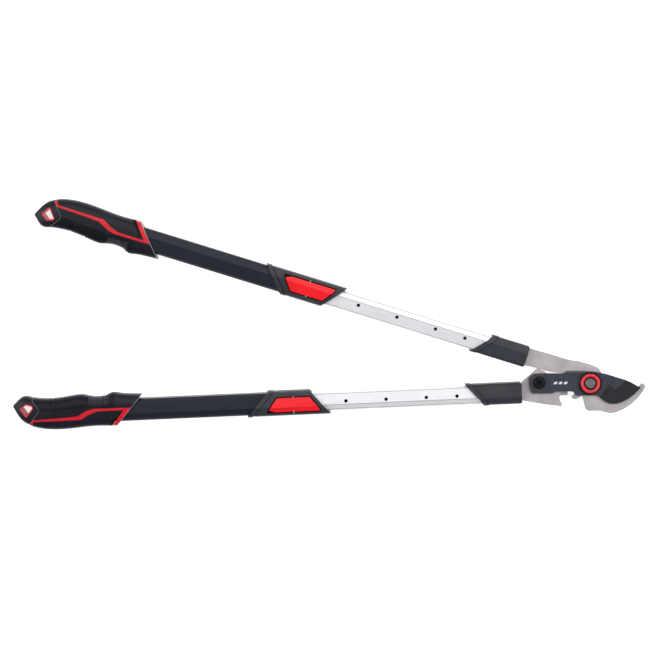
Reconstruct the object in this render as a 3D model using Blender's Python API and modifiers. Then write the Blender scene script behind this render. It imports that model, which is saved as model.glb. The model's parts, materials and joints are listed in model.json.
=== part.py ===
"""Telescopic ratchet bypass loppers, jaws closed and both handles pulled out to their full length.

The tool lies flat: +X points to the blade's tip, +Y to the upper handle and +Z up. The origin is on the main
pivot's axis, at the underside of the pivot bolt's head, which is level with the undersides of the two grips.
Sizes are in millimetres and become metres as each mesh is made. A handle's own axes are u, along it and away
from the jaws, v, across it and away from the other handle, and w, up from its middle plane.
"""

import math

import bmesh
import bpy
from mathutils import Matrix, Vector

MM = 0.001
GAP = 0.3  # left between pieces that touch
ARC_STEP = math.radians(20)  # one straight piece of a rounded corner
SOFT = 999.0  # a corner radius as large as its two sides allow

# Heights of the flat layers, bottom and top.
PLATE = (14.0, 20.0)
BLADE = (20.3, 24.8)
RATCHET = (9.0, 13.7)
MIDDLE = 17.0  # the handles' middle plane

# Pivots, in plan.
PIVOT = (0.0, 0.0)
TANG = (-80.5, 0.9)
PAWL_PIN = (-61.0, -9.5)
PAWL_STOP = (-49.0, -7.6)
BORE = 6.3  # around the pivot bush
M8 = 4.0
M8_HOLE = 4.3
SECTOR_RIVETS = (75.0, 300.0)  # degrees round the pivot
SECTOR_RIVET_RADIUS = 13.5
RIVET = 2.5
RIVET_HOLE = 2.8

# Handles: the angle above or below -X, and how far the axis passes from the main pivot.
LOWER = {"name": "lower", "side": 1, "angle": 182.5, "offset": 11.0}
UPPER = {"name": "upper", "side": -1, "angle": 162.79, "offset": 10.0}
SHANK_START, SHANK_END, SHANK_HALF = 107.0, 150.0, 11.0
SHANK_RIVETS = (122.0, 142.0)
FERRULE_START, FERRULE_LIP = 108.5, 9.5
INNER_TUBE = (112.0, 498.0)
HOLES = (211.0, 259.5, 323.0, 386.5, 450.0)
HOLE = 2.5
OUTER_TUBE = (447.0, 868.0)
COLLAR_STEP = 446.5
COLLAR_LIP = 8.5
ROCKER = (469.5, 14.8)  # the lock button's pin, as u and w
ROCKER_PIN = 1.25
FLOOR = 12.8  # of the button's tub
BUTTON_PROUD = 2.3  # of the collar's faces
PEG = 1.8

# The inner tube's section, upper half, from its inward side to its outward side: a low roof with its
# ridge off centre.
SIDE_CORNERS = ((-14.6, 7.2), (-12.4, 9.8), (5.0, 11.2), (12.6, 8.6), (14.6, 6.6))
COLLAR_CORNERS = ((-19.2, 8.5), (-16.6, 13.4), (5.0, 16.0), (16.8, 13.2), (19.2, 9.5))

# The grip, station by station: u, inner edge, outer edge, half height.
GRIP_STATIONS = (
    (703, -24.3, 24.0, 17.0), (722, -25.2, 24.2, 17.0), (740, -26.6, 24.3, 17.0), (752, -28.8, 24.4, 17.0),
    (758, -28.2, 24.3, 17.0), (765, -24.0, 24.0, 17.0), (777, -22.2, 23.6, 17.0), (788, -23.0, 23.6, 17.0),
    (798, -26.4, 24.1, 17.0), (806, -27.5, 24.7, 17.0), (820, -26.2, 25.8, 17.0), (838, -23.8, 26.6, 17.0),
    (856, -22.9, 26.0, 17.0), (870, -23.9, 24.0, 17.0), (882, -25.8, 20.8, 16.2), (890, -28.2, 16.8, 15.2),
    (897, -28.2, 12.6, 14.0), (903, -24.6, 6.2, 12.6), (908, -19.8, -2.2, 10.6), (912.5, -16.0, -11.0, 7.0),
)  # fmt: skip
GRIP_SIDES = 20
GRIP_SQUARENESS = 3.2

BUTTON = ((425.5, 13.2, 2), (512.5, 13.2, 2), (495.5, -10, 2.2), (443.2, -10, 2.2))
BUTTON_GROOVE, TUB_WALL = 1.4, 2.0
STRIPE = (
    (736, -1.6, 0), (779, -1.4, 8), (792, 3, 8), (806, 11.2, 5), (880.5, 11.6, 1), (884, 17.5, 0),
    (888, 16.8, 0), (882, 8.8, 1), (830, 6.8, 30), (811.7, 5.6, 6), (795, -3.2, 6), (785, -5.4, 8),
    (733, -5.2, 0),
)  # fmt: skip
STRIPE_DEPTH = 1.8
FRONT_FOOT, FRONT_TOP = (708.3, -24.3), (750.7, 25.0)  # two points of the grip's slanted front edge
BAND = ((-5, 9.6), (35, 7.5))  # the red band's ends: v, and its length behind the front edge
PAD = ((752, -7), (800, -8.5), (874, -5), (880, -16), (880, -40), (752, -40))
HANG_HOLE = ((892.5, 6, 3), (902.3, -9.5, 3), (891.5, -17.4, 2.5), (881, -14.5, 2), (879.5, -10, 2.5))
LINER = 1.6

BLACK = ("black", (0.012, 0.013, 0.017), 0.55, 0.0)
SOFT_BLACK = ("soft_black", (0.014, 0.015, 0.02), 0.75, 0.0)
CHARCOAL = ("charcoal", (0.045, 0.047, 0.054), 0.5, 0.0)
RED = ("red", (0.75, 0.02, 0.03), 0.4, 0.0)
TUBE_BLACK = ("tube_black", (0.024, 0.026, 0.032), 0.35, 0.6)
SILVER = ("silver", (0.86, 0.86, 0.88), 0.3, 0.9)
STEEL = ("steel", (0.5, 0.47, 0.49), 0.5, 0.8)
BLADE_GREY = ("blade_grey", (0.045, 0.05, 0.065), 0.45, 0.5)
ZINC = ("zinc", (0.45, 0.46, 0.48), 0.35, 1.0)
SPRING_STEEL = ("spring_steel", (0.3, 0.3, 0.31), 0.35, 1.0)

for old in list(bpy.data.objects):
    bpy.data.objects.remove(old)
PARTS = bpy.data.collections.new("bypass_loppers")
CUTTERS = bpy.data.collections.new("cutters")
for collection in (PARTS, CUTTERS):
    bpy.context.scene.collection.children.link(collection)


# Outlines.


def rounded(corners):
    """The points of an outline whose corners are (x, y, radius)."""
    points = []
    for i, (x, y, radius) in enumerate(corners):
        here = Vector((x, y))
        back = Vector(corners[i - 1][:2]) - here
        ahead = Vector(corners[(i + 1) % len(corners)][:2]) - here
        half = back.angle(ahead) / 2
        if radius == 0 or half > math.radians(89.5):
            points.append(here)
            continue
        reach = min(radius / math.tan(half), 0.48 * back.length, 0.48 * ahead.length)
        radius = reach * math.tan(half)
        towards = (back.normalized() + ahead.normalized()).normalized()
        centre = here + towards * radius / math.sin(half)
        start = here + back.normalized() * reach - centre
        turn = start.angle_signed(here + ahead.normalized() * reach - centre)
        steps = max(1, math.ceil(abs(turn) / ARC_STEP))
        for step in range(steps + 1):
            points.append(centre + Matrix.Rotation(-turn * step / steps, 2) @ start)
    return points


def circle(x, y, radius, sides=24):
    turns = [math.tau * i / sides for i in range(sides)]
    return [Vector((x + radius * math.cos(t), y + radius * math.sin(t))) for t in turns]


def polar(degrees, radius):
    """A point round the main pivot."""
    turn = math.radians(degrees)
    return radius * math.cos(turn), radius * math.sin(turn)


def grown(points, distance):
    """A closed outline with every side moved outward."""
    points = [Vector(p) for p in points]
    area = sum(a.cross(b) for a, b in zip(points, points[1:] + points[:1]))
    result = []
    for i, here in enumerate(points):
        before = here - points[i - 1]
        after = points[(i + 1) % len(points)] - here
        sides = [Vector((e.y, -e.x)).normalized() * math.copysign(1, area) for e in (before, after)]
        result.append(here + (sides[0] + sides[1]) * distance / (1 + sides[0].dot(sides[1])))
    return result


def section(distance=0.0, corners=SIDE_CORNERS):
    """The tubes' six-sided outline, mirrored below the middle plane and grown."""
    lower = [(v, -w) for v, w in reversed(corners)]
    return grown([Vector(p) for p in (*corners, *lower)], distance)


# Building blocks.


def material(look):
    name, colour, roughness, metallic = look
    found = bpy.data.materials.get(name)
    if found:
        return found
    made = bpy.data.materials.new(name)
    made.use_nodes = True
    made.diffuse_color = (*colour, 1)
    shader = made.node_tree.nodes["Principled BSDF"]
    shader.inputs["Base Color"].default_value = (*colour, 1)
    shader.inputs["Roughness"].default_value = roughness
    shader.inputs["Metallic"].default_value = metallic
    return made


def solid(name, mesh):
    """An object of the mesh, welded, facing out and shaded smooth between its sharp edges."""
    work = bmesh.new()
    work.from_mesh(mesh)
    bmesh.ops.remove_doubles(work, verts=work.verts, dist=1e-6)
    bmesh.ops.dissolve_limit(work, angle_limit=0.002, verts=work.verts, edges=work.edges)
    bmesh.ops.recalc_face_normals(work, faces=work.faces)
    work.to_mesh(mesh)
    work.free()
    mesh.shade_smooth()
    mesh.set_sharp_from_angle(angle=math.radians(35))
    made = bpy.data.objects.new(name, mesh)
    CUTTERS.objects.link(made)
    made.hide_render = True
    made.display_type = "WIRE"
    return made


def prism(name, loops, low, high, place=None):
    """An outline, with any further loops as holes, between two heights."""
    curve = bpy.data.curves.new(name, "CURVE")
    curve.dimensions = "2D"
    curve.fill_mode = "BOTH"
    curve.extrude = (high - low) / 2 * MM
    for loop in loops:
        spline = curve.splines.new("POLY")
        spline.points.add(len(loop) - 1)
        for point, (x, y) in zip(spline.points, loop):
            point.co = (x * MM, y * MM, 0, 1)
        spline.use_cyclic_u = True
    guide = bpy.data.objects.new(name, curve)
    CUTTERS.objects.link(guide)
    graph = bpy.context.evaluated_depsgraph_get()
    mesh = bpy.data.meshes.new_from_object(guide.evaluated_get(graph))
    mesh.name = name
    bpy.data.objects.remove(guide)
    mesh.transform(Matrix.Translation((0, 0, (low + high) / 2 * MM)))
    if place:
        mesh.transform(place)
    return solid(name, mesh)


def turned(name, profile, x, y, steps=32):
    """A shape turned round an upright axis at (x, y). The profile's (radius, height) points run down the
    outer side; a ring's profile is a closed loop, and a solid's starts and ends on the axis."""
    ring = profile[0][0] > 0
    count = len(profile)
    edges = [(i, (i + 1) % count) for i in range(count if ring else count - 1)]
    mesh = bpy.data.meshes.new(name)
    mesh.from_pydata([(r * MM, 0, z * MM) for r, z in profile], edges, [])
    made = bpy.data.objects.new(name, mesh)
    CUTTERS.objects.link(made)
    made.location = (x * MM, y * MM, 0)
    made.hide_render = True
    made.display_type = "WIRE"
    screw = made.modifiers.new("turn", "SCREW")
    screw.steps = screw.render_steps = steps
    screw.use_smooth_shade = True
    screw.use_merge_vertices = True
    screw.merge_threshold = 1e-6
    return made


def boolean(obj, other, operation):
    step = obj.modifiers.new(other.name, "BOOLEAN")
    step.operation = operation
    step.object = other
    return obj


def cut(obj, *others):
    for other in others:
        boolean(obj, other, "DIFFERENCE")
    return obj


def join(obj, *others):
    for other in others:
        boolean(obj, other, "UNION")
    return obj


def keep(obj, other):
    return boolean(obj, other, "INTERSECT")


def bevel(obj, width, segments=1, angle=40):
    step = obj.modifiers.new("edges", "BEVEL")
    step.width = width * MM
    step.segments = segments
    step.limit_method = "ANGLE"
    step.angle_limit = math.radians(angle)
    return obj


def finish(obj, look, axis):
    """Makes the object a part with its material, which moves with an empty on its joint's axis."""
    CUTTERS.objects.unlink(obj)
    PARTS.objects.link(obj)
    obj.hide_render = False
    obj.display_type = "TEXTURED"
    obj.data.materials.clear()
    obj.data.materials.append(material(look))
    place = obj.matrix_basis.copy()
    obj.parent = axis
    obj.matrix_parent_inverse = axis.matrix_basis.inverted()
    obj.matrix_basis = place
    return obj


def empty(name, x, y, z=0.0, turn=0.0):
    made = bpy.data.objects.new(name, None)
    made.empty_display_size = 0.02
    made.matrix_basis = Matrix.Translation((x * MM, y * MM, z * MM)) @ Matrix.Rotation(turn, 4, "Z")
    PARTS.objects.link(made)
    return made


# Jaws and the pieces on their pivots.


def to_plan(handle, u, v):
    """A point of a handle, in plan."""
    turn = math.radians(handle["angle"])
    along = Vector((math.cos(turn), math.sin(turn)))
    across = Vector((-along.y, along.x)) * handle["side"]
    point = across * (handle["offset"] + v) + along * u
    return point.x, point.y


def shank(handle, outward_edge, inward_edge):
    """The corners of a plate's tongue in its handle's tube, from the outward side to the inward side."""
    corners = (
        (SHANK_START, outward_edge, 1), (SHANK_START, SHANK_HALF, 1), (SHANK_END, SHANK_HALF, 2),
        (SHANK_END, -SHANK_HALF, 2), (SHANK_START, -SHANK_HALF, 1), (SHANK_START, -inward_edge, 1),
    )  # fmt: skip
    return [(*to_plan(handle, u, v), radius) for u, v, radius in corners]


def shank_holes(handle):
    return [circle(*to_plan(handle, u, 0), RIVET_HOLE, 16) for u in SHANK_RIVETS]


def hook_jaw(axis):
    back = [
        (-75, 21.0, SOFT), (-57, 15.6, SOFT), (-27, 15.4, SOFT), (-23, 8, SOFT), (-23.4, -2, SOFT),
        (-20, -12, SOFT), (-15.5, -17.6, 3), (-11.4, -20, 2),
    ]  # fmt: skip
    heel = [
        (-9.6, -25, SOFT), (-7.6, -33, SOFT), (-5.8, -41.5, 4), (-2, -45, 5), (13, -44.4, SOFT),
        (22, -45.6, SOFT), (34, -49.6, SOFT), (49, -45.4, SOFT), (61, -38.6, SOFT), (72, -29.8, SOFT),
        (80.6, -19.8, SOFT), (86, -11.3, SOFT), (88.6, -5, 5), (86.2, -1.6, 3), (82, -1.8, 3),
    ]  # fmt: skip
    throat = [
        (78.2, -6.6, SOFT), (72, -13.3, SOFT), (64, -20.2, SOFT), (55, -25.8, SOFT), (44, -29.8, SOFT),
        (34, -29.6, SOFT), (26, -24.6, SOFT), (21.6, -14, SOFT), (22.5, 0, SOFT), (21, 10, SOFT),
    ]  # fmt: skip
    shoulder = [
        (17.9, 16.4, 4), (14.6, 22.6, SOFT), (8.5, 26.3, SOFT), (0, 29.1, SOFT), (-12, 32.2, SOFT),
        (-21, 34.8, SOFT), (-28, 34.6, SOFT), (-60, 44.4, SOFT),
    ]  # fmt: skip
    outline = rounded([*back, *heel, *throat, *shoulder, *shank(UPPER, 13.8, 13.7)])
    rivets = [circle(*polar(a, SECTOR_RIVET_RADIUS), RIVET_HOLE, 16) for a in SECTOR_RIVETS]
    loops = [outline, circle(*PIVOT, BORE), *rivets, *shank_holes(UPPER)]
    finish(bevel(prism("hook_jaw", loops, *PLATE), 0.8), STEEL, axis)


def cutting_blade(axis):
    spine = [
        (80.3, -7.0, 0.6), (72, -3.2, SOFT), (62, 3.4, SOFT), (50, 6.7, SOFT), (36, 11.2, SOFT),
        (17.5, 16.9, SOFT), (0, 18.9, SOFT), (-36.5, 19.2, 4), (-43, 15.3, 4), (-87, 15.2, 6),
        (-93, 12.3, 3), (-97, 8, 2), (-96.4, -4, SOFT), (-92.8, -14.6, 3), (-90, -16.4, 2),
    ]  # fmt: skip
    edge = [
        (-60, -16.4, 5), (-54.5, -13.4, 5), (-27, -13.3, 3), (-22.2, -19.5, 1.5), (12, -19.5, 3),
        (20, -26.5, SOFT), (29, -32.2, SOFT), (38, -33.6, SOFT), (48, -31.7, SOFT), (57, -27.4, SOFT),
        (66, -21.4, SOFT), (74, -13.8, SOFT),
    ]  # fmt: skip
    loops = [rounded([*spine, *edge]), circle(*PIVOT, BORE), circle(*TANG, M8_HOLE)]
    finish(bevel(prism("cutting_blade", loops, *BLADE), 0.6), BLADE_GREY, axis)


def lower_head(axis):
    corners = [
        (-102.5, 5.0, SOFT), (-96, 10.6, SOFT), (-84, 21.3, 2), (-81.2, 22.1, 2), (-77.5, 20.6, 3),
        (-71, 17.3, 4), (-62, 9.2, 6), (-50.5, -1.2, 5), (-46.5, -8, 4), (-45.8, -14, 2), (-46.3, -20.5, 2),
        (-47.8, -24.5, 4), (-46, -29, 4), (-43, -33.5, 2), (-43.8, -37.2, 1.5), (-60, -35.8, SOFT),
        (-80, -32.8, SOFT),
    ]  # fmt: skip
    outline = rounded([*corners, *shank(LOWER, 12.6, 16.3)])
    pins = [circle(*PAWL_PIN, 2.5, 16), circle(*PAWL_STOP, 1.8, 12)]
    loops = [outline, circle(*TANG, M8_HOLE), *pins, *shank_holes(LOWER)]
    finish(bevel(prism("lower_head", loops, *PLATE), 0.8), STEEL, axis)


def ratchet_sector(axis):
    """The toothed plate under the hook. The last tooth, longer and rounded, shows below the blade."""
    second_tooth = [(188, 25, 2), (203.5, 26.5, 1), (204.5, 32.4, 0.5), (206.2, 33, 0.5), (211.5, 29.3, 2)]
    last_tooth = [
        (216, 27, 2), (219.6, 27.4, 1), (220.8, 35.6, 1.5), (224, 36.7, 1), (228.5, 36.7, 2),
        (232.5, 34.2, 2), (236, 29.8, 5), (243, 24.5, 3), (252, 20.5, 5),
    ]  # fmt: skip
    rim = [(a % 360, 20, SOFT) for a in range(270, 560, 30)]
    corners = [(*polar(a, r), radius) for a, r, radius in (*second_tooth, *last_tooth, *rim)]
    rivets = [circle(*polar(a, SECTOR_RIVET_RADIUS), RIVET_HOLE, 16) for a in SECTOR_RIVETS]
    loops = [rounded(corners), circle(*PIVOT, BORE), *rivets]
    finish(prism("ratchet_sector", loops, *RATCHET), STEEL, axis)


def rivet(name, x, y, low, high, axis, radius=RIVET, head=None):
    """A plain rivet, or one with a flat head at its lower end."""
    profile = [(0, high), (radius, high), (radius, low), (0, low)]
    if head:
        wide, thick = head
        profile[3:] = [(wide, low), (wide, low - thick), (0, low - thick)]
    finish(turned(name, profile, x, y, 16), ZINC, axis)


def ring(name, x, y, inner, outer, low, high, look, axis, edge=0.5):
    """A washer with its outer edges taken off."""
    profile = [
        (inner, high), (outer - edge, high), (outer, high - edge), (outer, low + edge), (outer - edge, low),
        (inner, low),
    ]  # fmt: skip
    finish(turned(name, profile, x, y), look, axis)


def hexagon(name, x, y, radius, low, high):
    return prism(name, [circle(x, y, radius, 6)], low, high)


def main_pivot(axis):
    top = 27.7  # of the black washer, with its gap
    head = hexagon("pivot_bolt", *PIVOT, 7.8, 0.0, 6.0)
    shank_profile = [(0, 33.8), (M8 - 0.5, 33.8), (M8, 33.3), (M8, 3), (0, 3)]
    join(head, turned("pivot_bolt_shank", shank_profile, *PIVOT))
    finish(head, ZINC, axis)
    ring("pivot_bolt_washer", *PIVOT, M8_HOLE, 9.2, 6.3, 8.7, ZINC, axis)
    ring("pivot_bush", *PIVOT, M8_HOLE, 6.0, RATCHET[0], BLADE[1], ZINC, axis, 0.3)
    ring("pivot_washer", *PIVOT, M8_HOLE, 18.4, BLADE[1] + GAP, top - GAP, BLACK, axis, 0.9)
    ring("pivot_ring", *PIVOT, 9.8, 15.2, top, 31.2, RED, axis, 1.2)
    nut = hexagon("pivot_nut", *PIVOT, 7.3, top + 0.5, 32.8)
    join(nut, turned("pivot_nut_flange", [(0, top + 1.8), (8.2, top + 1), (8.2, top), (0, top)], *PIVOT))
    cut(nut, turned("pivot_nut_bore", [(0, 34), (M8_HOLE, 34), (M8_HOLE, 26), (0, 26)], *PIVOT))
    finish(nut, ZINC, axis)
    for number, degrees in enumerate(SECTOR_RIVETS, 1):
        place = polar(degrees, SECTOR_RIVET_RADIUS)
        rivet(f"sector_rivet_{number}", *place, RATCHET[0] - GAP, PLATE[1] - 0.2, axis, head=(4.0, 1.4))


def tang_pivot(axis):
    ring("tang_washer", *TANG, M8_HOLE, 10.0, BLADE[1] + GAP, 26.5, BLACK, axis, 0.6)
    profile = [
        (0, 30.4), (4.2, 30.4), (6.4, 29.6), (7.7, 27.9), (7.7, 26.8), (M8, 26.8), (M8, 5.4), (0, 5.4),
    ]  # fmt: skip
    bolt = turned("tang_bolt", profile, *TANG)
    cut(bolt, hexagon("tang_socket", *TANG, 3.5, 27.6, 31))
    finish(bolt, BLACK, axis)
    ring("tang_nut_washer", *TANG, M8_HOLE, 8.5, 12.3, RATCHET[1], ZINC, axis, 0.3)
    nut = hexagon("tang_nut", *TANG, 7.5, 6.0, 12.0)
    cut(nut, turned("tang_nut_bore", [(0, 14), (M8_HOLE, 14), (M8_HOLE, 4), (0, 4)], *TANG))
    finish(nut, ZINC, axis)


def pawl_pieces(lever_axis, pawl_axis):
    corners = [
        (-61, -3.2, 6), (-56.5, -4.6, 6), (-46, -12.6, 8), (-38, -14.4, SOFT), (-33.6, -15.3, 0.6),
        (-33.6, -20.6, 1.2), (-46, -20.9, 8), (-57, -16, 6), (-61, -15.8, 6), (-67.3, -15.8, 6.3),
        (-67.3, -3.2, 6.3),
    ]  # fmt: skip
    loops = [rounded(corners), circle(*PAWL_PIN, 2.5, 16)]
    finish(prism("ratchet_pawl", loops, *RATCHET), STEEL, pawl_axis)
    rivet("pawl_pin", *PAWL_PIN, 6.0, PLATE[1] - 0.2, lever_axis, 2.2, head=(4.4, 1.0))
    rivet("pawl_stop", *PAWL_STOP, RATCHET[0] + 0.4, PLATE[1] - 0.2, lever_axis, 1.5)
    finish(pawl_spring(), SPRING_STEEL, lever_axis)


def pawl_spring():
    """Two turns of wire round the pawl's pin, with one leg along the pawl and one hooked behind the head."""
    wire, coil, low, pitch, steps = 0.4, 3.3, 6.6, 0.85, 14
    x, y = PAWL_PIN
    turns = [math.radians(90) - math.tau * i / steps for i in range(2 * steps + 2)]
    path = [(x - 11, y + coil, 13.5), (x - 11, y + coil, low)]
    for i, turn in enumerate(turns):
        path.append((x + coil * math.cos(turn), y + coil * math.sin(turn), low + pitch * i / steps))
    path.append((x + 17, y - 4, low + 1.9))
    curve = bpy.data.curves.new("pawl_spring", "CURVE")
    curve.dimensions = "3D"
    curve.bevel_depth = wire * MM
    curve.bevel_resolution = 1
    curve.use_fill_caps = True
    spline = curve.splines.new("POLY")
    spline.points.add(len(path) - 1)
    for point, place in zip(spline.points, path):
        point.co = (*[c * MM for c in place], 1)
    made = bpy.data.objects.new("pawl_spring", curve)
    CUTTERS.objects.link(made)
    return made


# Handles. Every mesh here is made in the handle's own axes.

ALONG = Matrix(((0, 0, 1, 0), (1, 0, 0, 0), (0, 1, 0, 0), (0, 0, 0, 1)))  # a section's plane across u


class Handle:
    """Makes solids in one handle's axes and stands them in the tool."""

    def __init__(self, sizes):
        self.name = sizes["name"]
        self.side = sizes["side"]
        turn = Matrix.Rotation(math.radians(sizes["angle"]), 4, "Z")
        shift = Matrix.Translation((0, self.side * sizes["offset"] * MM, MIDDLE * MM))
        self.place = turn @ shift
        self.flip = Matrix.Diagonal((1, self.side, 1, 1))

    def stand(self, obj):
        obj.data.transform(self.flip)
        if self.side < 0:
            obj.data.flip_normals()
        obj.matrix_basis = self.place
        return obj

    def label(self, name):
        return f"{self.name}_{name}"

    def bar(self, name, loops, start, end):
        """Section loops (v, w) drawn out along u."""
        return self.stand(prism(self.label(name), loops, start, end, ALONG))

    def plan(self, name, loops, low, high):
        """Outlines (u, v) between two heights."""
        return self.stand(prism(self.label(name), loops, low, high))

    def profile(self, name, loops, start, end):
        """Outlines (u, w) between two places across the handle."""
        upright = Matrix.Rotation(math.radians(90), 4, "X") @ Matrix.Diagonal((1, 1, -1, 1))
        return self.stand(prism(self.label(name), loops, start, end, upright))


def slanted(front, back, reach=24.0):
    """A strip of plan between two slanted edges, each given as its u at v = +20 and at v = -20."""

    def at(edge, v):
        return (edge[0] + edge[1]) / 2 + (edge[0] - edge[1]) * v / 40, v

    return [at(front, reach), at(front, -reach), at(back, -reach), at(back, reach)]


def ferrule(handle, axis):
    tail = ((168, 18.5), (176.5, 5.6), (179.5, 3.4), (199, -19))
    ends = [(164.4, 24), (203.4, -24)]
    edge = [ends[0], *tail, ends[1]]
    body = handle.bar("ferrule", [section(2.2)], FERRULE_START, 210)
    lip = handle.bar("ferrule_lip", [section(3.0)], FERRULE_START, 210)
    lip_start = [(u - FERRULE_LIP, v) for u, v in reversed(edge)]
    keep(lip, handle.plan("lip_zone", [[*edge, *lip_start]], -25, 25))
    keep(body, handle.plan("body_zone", [[*edge, (100, -24), (100, 24)]], -25, 25))
    join(body, lip)
    cut(body, handle.bar("ferrule_bore", [section(GAP)], INNER_TUBE[0] - GAP, 220))
    half = SHANK_HALF + GAP
    slot = [(-half, PLATE[0] - MIDDLE - GAP), (half, PLATE[0] - MIDDLE - GAP)]
    slot += [(v, -w) for v, w in reversed(slot)]
    cut(body, handle.bar("ferrule_slot", [slot], 100, INNER_TUBE[0] + 1))
    finish(body, CHARCOAL, axis)


def inner_tube(handle, axis):
    tube = handle.bar("inner_tube", [section(), section(-1.4)], *INNER_TUBE)
    for number, u in enumerate(HOLES, 1):
        cut(tube, handle.plan(f"lock_hole_{number}", [circle(u, 0, HOLE, 16)], 5, 15))
    for number, u in enumerate(SHANK_RIVETS, 1):
        cut(tube, handle.plan(f"rivet_hole_{number}", [circle(u, 0, RIVET_HOLE, 16)], -15, 15))
        pin = handle.plan(f"shank_rivet_{number}", [circle(u, 0, RIVET, 16)], -10.4, 10.4)
        finish(pin, ZINC, axis)
    finish(tube, SILVER, axis)
    plug = handle.bar("tube_plug", [section(-1.7)], INNER_TUBE[1] - 12, INNER_TUBE[1] + 1)
    join(plug, handle.bar("tube_plug_flange", [section(0.3)], INNER_TUBE[1] + GAP, INNER_TUBE[1] + 3.5))
    finish(plug, BLACK, axis)


def button_outline(distance=0.0):
    return grown(rounded(BUTTON), distance)


def roof(handle, name, proud):
    """The collar's outer form, grown: what sits in the collar follows its faces."""
    return handle.bar(name, [section(proud, COLLAR_CORNERS)], 400, 560)


def outer_tube(handle, axis):
    tube = handle.bar("outer_tube", [section(2.5), section(0.9)], *OUTER_TUBE)
    cut(tube, handle.plan("button_window", [button_outline(BUTTON_GROOVE + TUB_WALL + GAP)], 6, 20))
    cut(tube, handle.plan("tube_screw_hole", [circle(528, 0, 1.9, 12)], -16, -5))
    finish(tube, TUBE_BLACK, axis)


def collar(handle, axis):
    front, back = (410.5, 444.0), (543.0, 509.0)
    lip = (back[0] - COLLAR_LIP, back[1] - COLLAR_LIP)
    body = handle.bar("collar", [section(0, COLLAR_CORNERS)], 400, 550)
    keep(body, handle.plan("collar_zone", [slanted(front, back)], -25, 25))
    rim = handle.bar("collar_lip", [section(0.9, COLLAR_CORNERS)], 480, 550)
    keep(rim, handle.plan("collar_lip_zone", [slanted(lip, back)], -25, 25))
    join(body, rim)
    cut(body, handle.bar("collar_bore", [section(0.4)], 390, 560))
    cut(body, handle.bar("collar_seat", [section(2.5 + GAP)], COLLAR_STEP, 560))
    tub = handle.plan("button_tub", [button_outline(BUTTON_GROOVE + TUB_WALL)], 11.9, 24)
    join(body, keep(tub, roof(handle, "tub_roof", 0.8)))
    cut(body, handle.plan("button_pocket", [button_outline(BUTTON_GROOVE)], FLOOR, 24))
    cut(body, handle.plan("peg_way", [circle(HOLES[-1], 0, 2.4, 16)], 9, 14))
    u, w = ROCKER
    width = ROCKER_PIN + GAP
    slot = [(u - width, w - width), (u + width, w - width), (u + width, 20), (u - width, 20)]
    cut(body, handle.profile("pin_slot", [slot], -15, 17.5))
    cut(body, handle.plan("screw_sink", [circle(528, 0, 3.7, 16)], -20, -14.2))
    cut(body, handle.plan("screw_way", [circle(528, 0, 1.9, 12)], -16, -8))
    finish(body, CHARCOAL, axis)
    screw = handle.plan("collar_screw", [circle(528, 0, 3.4, 16)], -15.3, -14.5)
    join(screw, handle.plan("screw_shank", [circle(528, 0, 1.6, 12)], -14.8, -12.1))
    finish(screw, ZINC, axis)


def lock(handle, slide_axis, button_axis):
    u, w = ROCKER
    button = handle.plan("lock_button", [button_outline()], 13.2, 24)
    keep(button, roof(handle, "button_roof", BUTTON_PROUD))
    bevel(button, 1.1, 2)
    relief = [(u + 1.5, 13.2), (u + 1.5, 12), (520, 12), (520, 17.6)]
    cut(button, handle.profile("button_relief", [relief], -20, 20))
    cut(button, handle.profile("button_bore", [circle(u, w, ROCKER_PIN + GAP, 16)], -20, 20))
    cut(button, handle.plan("peg_seat", [circle(HOLES[-1], 0, PEG + GAP, 16)], 12, 16.6))
    finish(button, RED, button_axis)
    finish(handle.plan("lock_peg", [circle(HOLES[-1], 0, PEG, 16)], 9.3, 16.3), ZINC, button_axis)
    finish(handle.profile("button_pin", [circle(u, w, ROCKER_PIN, 12)], -12.4, 15.8), ZINC, slide_axis)
    leaf = [(477, 13.1), (482, 13.1), (489, 13.7), (496, 14.7)]
    strip = [*leaf, *[(x, y + 0.35) for x, y in reversed(leaf)]]
    finish(handle.profile("button_spring", [strip], -1, 8), SPRING_STEEL, slide_axis)


def grip_form(handle, name, inset=0.0):
    """The grip's outer form, lofted through its stations: squared ovals between its two edges. With an
    inset, the same form a little smaller."""
    work = bmesh.new()
    half_step = math.pi / GRIP_SIDES
    flat = math.cos(half_step) ** (2 / GRIP_SQUARENESS)  # height of the top facet on a unit oval
    rings = []
    for u, inner, outer, height in GRIP_STATIONS:
        ring_points = []
        for i in range(GRIP_SIDES):
            turn = half_step * (2 * i + 1) + math.pi / 2
            across = math.copysign(abs(math.cos(turn)) ** (2 / GRIP_SQUARENESS), math.cos(turn))
            up = math.copysign(abs(math.sin(turn)) ** (2 / GRIP_SQUARENESS), math.sin(turn)) / flat
            v = (inner + outer) / 2 + ((outer - inner) / 2 - inset) * across
            ring_points.append(work.verts.new((u * MM, v * MM, up * (height - inset) * MM)))
        rings.append(ring_points)
    for first, second in zip(rings, rings[1:]):
        for i in range(GRIP_SIDES):
            j = (i + 1) % GRIP_SIDES
            work.faces.new((first[i], first[j], second[j], second[i]))
    work.faces.new(reversed(rings[0]))
    work.faces.new(rings[-1])
    mesh = bpy.data.meshes.new(handle.label(name))
    work.to_mesh(mesh)
    work.free()
    return handle.stand(solid(handle.label(name), mesh))


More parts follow.
